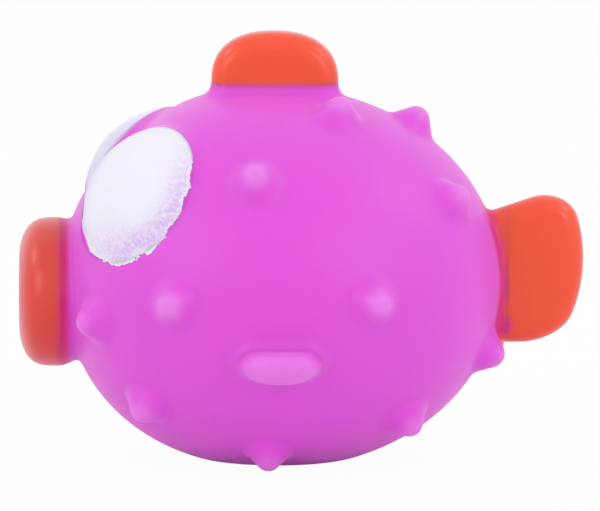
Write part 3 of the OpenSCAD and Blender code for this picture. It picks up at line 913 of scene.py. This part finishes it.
def sprayed(tree, scene, form, place):
    """Colour of the vinyl and the paint on it at any place, with painted highlight and shade, and the shares
    of orange and of white there.
    """
    paint = scene.fish_paint
    x, y, z = tree.parts(place)
    dark, light = tuple(c * 0.97 for c in paint.pink), tuple(min(c * 1.03, 1) for c in paint.pink)
    skin = tree.mix(0.5 + tree.noise(place, 90, 2.0) * 0.5, dark, light)
    drift = tree.noise(place, 260, 2.0) * 0.8 * MM
    # Painted highlight: the vinyl is painted paler at the nubs' tips and the pectoral fins, for the light
    # that glints on them and shines through their thin vinyl
    height = egg_height(tree, place, form)
    on_fin = tree.fall(abs(z - form.pectoral_high[2] + 3 * MM), *FIN_FACES)
    on_fin = on_fin * tree.fall(abs(x - form.pectoral_middle), *FIN_ENDS)
    painted_highlight = tree.step(height, *NUB_HIGHLIGHT) * 0.5 * (1 - on_fin) + on_fin * tree.step(height, *FIN_HIGHLIGHT) * 0.4
    skin = tree.mix(painted_highlight, skin, paint.pale_pink_highlight)
    # Dorsal fin: a crisp masked edge with a thin line of sprayed haze under it
    up = z - form.dorsal_low[2] + drift * 0.3
    skin = tree.mix(tree.step(up, *DORSAL_HAZE) * 0.5, skin, paint.deep_pink)
    dorsal = tree.step(up, *DORSAL_PAINT)
    skin = tree.mix(dorsal, skin, paint.orange)
    # Tail: the paint starts where the plate leaves the body, in a halo of deep pink
    low, high = form.tail_low, form.tail_high
    off = height + drift
    behind = tree.step(x - low[0], *TAIL_FRONT)
    aside = abs(y) - high[1] + 1 * MM
    aloft = abs(z - (low[2] + high[2]) / 2) - (high[2] - low[2]) / 2 + 2 * MM
    beside = tree.length(aside.math("MAXIMUM", 0), aloft.math("MAXIMUM", 0))
    halo = behind * tree.fall(beside, *TAIL_HALO) * tree.step(off, *TAIL_HAZE)
    skin = tree.mix(halo * 0.9, skin, paint.deep_pink)
    # The nubs under the root kept the spray off its lowest end
    root = form.middle[0] + form.body.rear
    sprayed_on = tree.step(tree.length(x - root, z - low[2] - MISSED_RISE) + drift, *MISSED_SPOT)
    tail = behind * tree.fall(abs(y) - high[1], *TAIL_FLANK) * sprayed_on * tree.step(off, *TAIL_PAINT)
    skin = tree.mix(tail, skin, paint.orange)
    # Lips: red orange that runs out over deep pink
    ahead = form.lips_high[0] - x + drift * 0.4
    skin = tree.mix(tree.step(ahead, *LIPS_HAZE), skin, paint.deep_pink)
    lips = tree.step(ahead, *LIPS_PAINT)
    skin = tree.mix(lips, skin, paint.red_orange)
    # Eyes: white with pink showing through its thin rear edge, and painted shade on the flank towards the
    # forehead
    white, flank, thin = white_share(tree, place, form)
    skin = tree.mix(white, skin, tree.mix(thin, tree.mix(flank, paint.white, paint.eye_flank_shade), paint.lilac))
    return skin, dorsal.math("MAXIMUM", tail).math("MAXIMUM", lips), white


# Attribute of a piece's mesh that keeps where each point of it was moulded
PLACE = "moulded_place"

# How strong the soft bloom is on each kind of vinyl, and how far red, green and blue light spread in it
VINYL = {
    "pink_vinyl": (0.35, (1, 0.6, 0.9)),
    "orange_paint": (0.2, (1, 0.6, 0.9)),
    "red_orange_paint": (0.2, (1, 0.6, 0.9)),
    "white_paint": (0, (1, 1, 0.6)),
}


def vinyl_material(scene, name):
    """Soft moulded vinyl with the sprayed paint that lies on it."""
    material, tree, shader = new_material(name)
    if not tree:
        return material
    sheen, glow = VINYL[name]
    place = tree.node("ShaderNodeAttribute", {"attribute_name": PLACE}, None, "Vector")
    skin, orange, white = sprayed(tree, scene, FishForm(scene), place)
    # The vinyl is a little uneven, the orange paint is pebbled and the white paint is chalky
    uneven = tree.noise(place, 160, 2.0) * 0.06 * MM
    pebbles = tree.noise(place, 1500, 3.0) * (0.008 + orange * 0.022 + white * 0.06) * MM
    tree.fill(shader.inputs, {
        "Base Color": skin,
        "Roughness": 0.42 - orange * 0.06 + white * 0.2 + tree.noise(place, 700, 3.0) * 0.08,
        "Coat Weight": orange * 0.45,
        "Normal": tree.bump(uneven + pebbles, 0.5),
        "Subsurface Weight": 0.6,
        "Subsurface Scale": 2.5 * MM,
        "Subsurface Radius": glow,
        "Sheen Weight": sheen,
        "Sheen Roughness": 0.5,
        "Sheen Tint": (*scene.fish_paint.bloom, 1),
        "Coat Roughness": 0.24,
    })
    return material


def black_material(scene):
    """Glossy black paint of the pupils."""
    material, tree, shader = new_material("black_paint")
    if tree:
        place = tree.node("ShaderNodeTexCoord", None, None, "Object")
        black = scene.fish_paint.black
        tree.fill(shader.inputs, {
            "Base Color": tree.mix(tree.noise(place, 900, 2.0) + 0.5, black, tuple(c * 1.6 for c in black)),
            "Roughness": 0.3 + tree.noise(place, 1400, 2.0) * 0.15,
        })
    return material


def plastic_material(name, base, gloss, grain):
    """Moulded plastic of the squeaker, with a fine moulded grain."""
    material, tree, shader = new_material(name)
    if tree:
        place = tree.node("ShaderNodeTexCoord", None, None, "Object")
        tree.fill(shader.inputs, {
            "Base Color": tree.mix(tree.noise(place, 400, 3.0) + 0.5, tuple(c * 0.93 for c in base), base),
            "Roughness": gloss + tree.noise(place, 1100, 3.0) * 0.14,
            "Normal": tree.bump(tree.noise(place, grain, 2.0) * 0.02 * MM, 0.4),
        })
    return material


MADE = {}


def moulding(context):
    """The skin, moulded the first time that a piece asks for it."""
    if "skin" not in MADE:
        MADE["skin"] = Moulding(context.scene)
    return MADE["skin"]


def add_piece(context, node, slot, name, body="body", extra=None):
    """Moulds a CAD node's share of the skin, which takes the node's place and rides on its body."""
    skin = moulding(context)
    mesh = skin.piece(node, skin.form.body.wall, extra)
    # The paint keeps to the places where it was sprayed, which the mesh keeps as an attribute
    places = np.empty(len(mesh.vertices) * 3)
    mesh.vertices.foreach_get("co", places)
    mesh.attributes.new(PLACE, "FLOAT_VECTOR", "POINT").data.foreach_set("vector", places)
    mesh.materials.append(vinyl_material(context.scene, slot) if slot in VINYL
                          else black_material(context.scene))
    made = shown(name, mesh)
    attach(made, body)
    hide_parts(node)
    if body == "body":
        travel = max(next(joint for joint in frame["joints"] if joint["name"] == "press")["range_m"])
        top = box_of("dorsal_fin")[0][2]
        1 - travel / top
        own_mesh(made)


# Each lamp's place from the middle of the fish, right, back and up, and its width, in metres
FRONT_LAMP = (0.5, -0.6, 0.3, 0.4)
SIDE_LAMP = (0.55, -0.05, 0.52, 0.24)
# How far the floor reaches to each side, and how much of its own white the camera sees
FLOOR_REACH = 3.0
FLOOR_WHITE = 0.96


class FISH_OT_stage(Operator):
    """Adds the pale floor, the soft light and the camera"""

    bl_idname = "bath_fish.stage"
    bl_label = "Stage"

    def execute(self, context):
        stage, form = context.scene.fish_stage, FishForm(context.scene)
        context.scene.view_settings.view_transform = "Standard"
        self.floor()
        self.sky(context.scene, stage)
        middle = Vector(form.middle)
        for side, name in ((-1, "left"), (1, "right")):
            self.lamp(f"front_{name}_lamp", side, middle, FRONT_LAMP, stage.key)
            self.lamp(f"side_{name}_lamp", side, middle, SIDE_LAMP, stage.side)
        self.camera(context.scene, stage, middle)
        return {"FINISHED"}

    def floor(self):
        """A wide floor that is white to the camera and keeps the fish's shadow."""
        corners = [(x * FLOOR_REACH, y * FLOOR_REACH, 0) for x, y in ((-1, -1), (1, -1), (1, 1), (-1, 1))]
        mesh = bpy.data.meshes.new("floor")
        mesh.from_pydata(corners, [], [(0, 1, 2, 3)])
        floor = shown("floor", mesh)
        material, tree, shader = new_material("pale_floor")
        tree.fill(shader.inputs, {"Base Color": (0.9, 0.9, 0.9, 1), "Roughness": 0.9})
        camera = tree.node("ShaderNodeLightPath", None, None, "Is Camera Ray")
        glow = tree.node("ShaderNodeEmission", None, {"Color": (1, 1, 1, 1), "Strength": 1.0})
        lit = Value(tree, shader.outputs[0])
        seen = tree.node("ShaderNodeMixShader", None, {0: camera * FLOOR_WHITE, 1: lit, 2: glow})
        tree.fill(material.node_tree.nodes["Material Output"].inputs, {"Surface": seen})
        mesh.materials.append(material)

    def sky(self, scene, stage):
        """An even sky, white where it is seen or mirrored."""
        world = bpy.data.worlds.new("studio_sky")
        scene.world = world
        world.use_nodes = True
        tree = Tree(world.node_tree)
        camera, glossy, clear = (tree.node("ShaderNodeLightPath", None, None, f"Is {kind} Ray")
                                 for kind in ("Camera", "Glossy", "Transmission"))
        seen = (camera + glossy + clear).math("MINIMUM", 1)
        tree.fill(world.node_tree.nodes["Background"].inputs,
                  {"Color": (1, 1, 1, 1), "Strength": seen * (1 - stage.sky) + stage.sky})

    def lamp(self, name, side, target, lamp, power):
        """A soft square lamp that shines on its target, where a side of -1 mirrors it to the left."""
        right, back, up, width = lamp
        away = Vector((right * side, back, up))
        data = bpy.data.lights.new(name, "AREA")
        data.shape, data.size, data.energy = "SQUARE", width, power
        lamp = shown(name, data)
        lamp.location = target + away
        lamp.rotation_euler = (-away).to_track_quat("-Z", "Y").to_euler()

    def camera(self, scene, stage, middle):
        """The camera, which looks at the left side from a little above."""
        data = bpy.data.cameras.new("camera")
        camera = shown("camera", data)
        back = Vector((0, -math.cos(stage.elevation), math.sin(stage.elevation)))
        up = Vector((0, math.sin(stage.elevation), math.cos(stage.elevation)))
        aim = middle + Vector((stage.aim_right, 0, 0)) + up * stage.aim_up
        camera.location = aim + back * stage.distance
        camera.rotation_euler = (-back).to_track_quat("-Z", "Y").to_euler()
        data.lens = data.sensor_width * stage.distance / stage.view_width
        data.clip_start, data.clip_end = stage.distance / 10, stage.distance * 20
        scene.camera = camera


class FISH_OT_body(Operator):
    """Moulds the hollow vinyl body with its nubs and the stepped hole for the squeaker"""

    bl_idname = "bath_fish.body"
    bl_label = "Body"

    def execute(self, context):
        MADE.pop("skin", None)
        ring = socket_ring(FishForm(context.scene))
        add_piece(context, "body_shell", "pink_vinyl", "body_skin", extra=ring)
        return {"FINISHED"}


class FISH_OT_fins(Operator):
    """Moulds the dorsal fin and the tail"""

    bl_idname = "bath_fish.fins"
    bl_label = "Dorsal fin and tail"

    def execute(self, context):
        for node, body in (("dorsal_fin", "back"), ("tail_fin", "body")):
            add_piece(context, node, "orange_paint", node + "_skin", body)
        return {"FINISHED"}


class FISH_OT_pectoral_fins(Operator):
    """Moulds the two pectoral fins"""

    bl_idname = "bath_fish.pectoral_fins"
    bl_label = "Pectoral fins"

    def execute(self, context):
        for node in ("left_pectoral_fin", "right_pectoral_fin"):
            add_piece(context, node, "pink_vinyl", node + "_skin")
        return {"FINISHED"}


class FISH_OT_lips(Operator):
    """Moulds the round lips and their dished mouth"""

    bl_idname = "bath_fish.lips"
    bl_label = "Lips"

    def execute(self, context):
        add_piece(context, "lips", "red_orange_paint", "lips_skin")
        return {"FINISHED"}


class FISH_OT_eyes(Operator):
    """Moulds the domed eyes and paints their pupils"""

    bl_idname = "bath_fish.eyes"
    bl_label = "Eyes"

    def execute(self, context):
        for side in ("left", "right"):
            add_piece(context, side + "_eye", "white_paint", side + "_eye_skin")
            add_piece(context, side + "_pupil", "black_paint", side + "_pupil_paint")
        return {"FINISHED"}


class FISH_OT_squeaker(Operator):
    """Finishes the squeaker and its reed unit"""

    bl_idname = "bath_fish.squeaker"
    bl_label = "Squeaker"

    def execute(self, context):
        paint = context.scene.fish_paint
        # The halves of the reed unit are a little darker than the housing and than each other
        holder, clamp = ([c * share for c in paint.nylon] for share in (0.9, 0.8))
        finishes = {
            "squeaker_housing": plastic_material("squeaker_plastic", paint.nylon, 0.42, 900),
            "reed_holder": plastic_material("reed_unit_plastic", holder, 0.5, 1200),
            "reed_clamp": plastic_material("reed_clamp_plastic", clamp, 0.5, 1200),
            "reed": plastic_material("reed_film", paint.film, 0.25, 2000),
        }
        for node, material in finishes.items():
            slots = frame["nodes"][node].data.materials
            slots.clear()
            slots.append(material)
        return {"FINISHED"}


GROUPS = {"fish_body": FishBody, "fish_nubs": FishNubs, "fish_fins": FishFins, "fish_eyes": FishEyes,
          "fish_paint": FishPaint, "fish_stage": FishStage}
STEPS = [FISH_OT_stage, FISH_OT_body, FISH_OT_fins, FISH_OT_pectoral_fins, FISH_OT_lips, FISH_OT_eyes,
         FISH_OT_squeaker]


class FISH_PT_sidebar(Panel):
    """Sizes, colours and steps of the bath fish"""

    bl_idname = "FISH_PT_sidebar"
    bl_label = "Bath Fish"
    bl_space_type = "VIEW_3D"
    bl_region_type = "UI"
    bl_category = "Bath Fish"

    def draw(self, context):
        for name, group in GROUPS.items():
            box = self.layout.box()
            box.label(text=group.__doc__)
            for setting in group.__annotations__:
                box.prop(getattr(context.scene, name), setting)
        for step in STEPS:
            self.layout.operator(step.bl_idname)


def register():
    for kind in [*GROUPS.values(), *STEPS, FISH_PT_sidebar]:
        bpy.utils.register_class(kind)
    for name, group in GROUPS.items():
        setattr(bpy.types.Scene, name, PointerProperty(type=group))


def unregister():
    for name in GROUPS:
        delattr(bpy.types.Scene, name)
    for kind in [FISH_PT_sidebar, *reversed(STEPS), *reversed(list(GROUPS.values()))]:
        bpy.utils.unregister_class(kind)


def main():
    """Makes the whole fish and its stage."""
    register()
    for step in STEPS:
        group, name = step.bl_idname.split(".")
        getattr(getattr(bpy.ops, group), name)()


if __name__ == "__main__":
    main()
